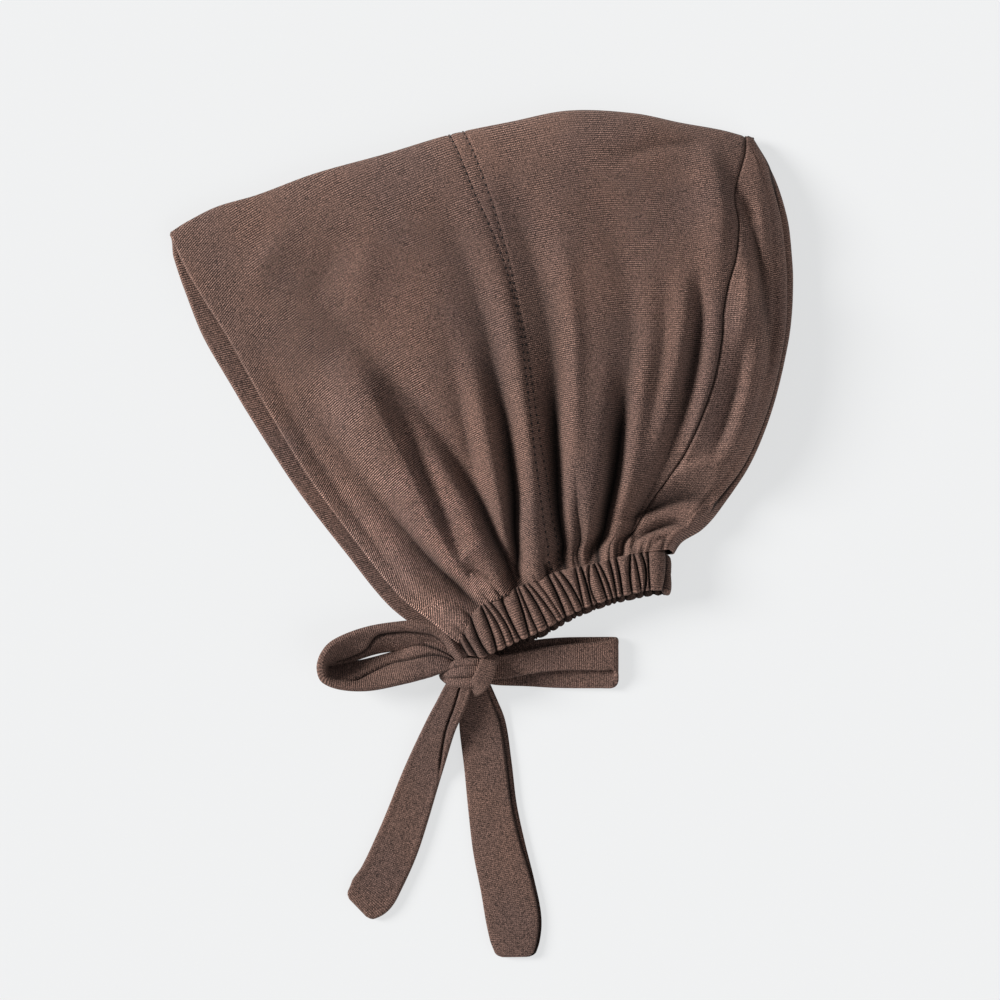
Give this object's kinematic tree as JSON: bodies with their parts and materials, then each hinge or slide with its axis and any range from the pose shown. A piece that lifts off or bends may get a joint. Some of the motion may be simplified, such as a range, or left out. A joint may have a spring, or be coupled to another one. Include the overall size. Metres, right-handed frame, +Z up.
{
  "type": "hijab underscarf cap",
  "caption": "Soft jersey underscarf cap lying folded flat: wide face band, gathered crown, elastic nape casing and a tie knotted in a bow.",
  "frame": {"origin": "middle of the bounding box's base, on the surface that the cap lies on", "axes": "+Z up from the surface, +Y from the bow's free ends to the crown fold, +X from the face edge to the back crease"},
  "size_m": [0.2796, 0.3814, 0.0297],
  "materials": {
    "jersey": "matt brown jersey",
    "tie_jersey": "matt brown jersey, cut as a strap"
  },
  "bodies": {
    "root": {"front_band": "jersey", "crown_panel": "jersey", "back_panel": "jersey", "nape_casing": "jersey", "tie_knot": "tie_jersey", "knot_band": "tie_jersey", "bow_loop_left": "tie_jersey", "bow_loop_right": "tie_jersey", "tie_tail_left": "tie_jersey", "tie_tail_right": "tie_jersey"}
  },
  "joints": []
}
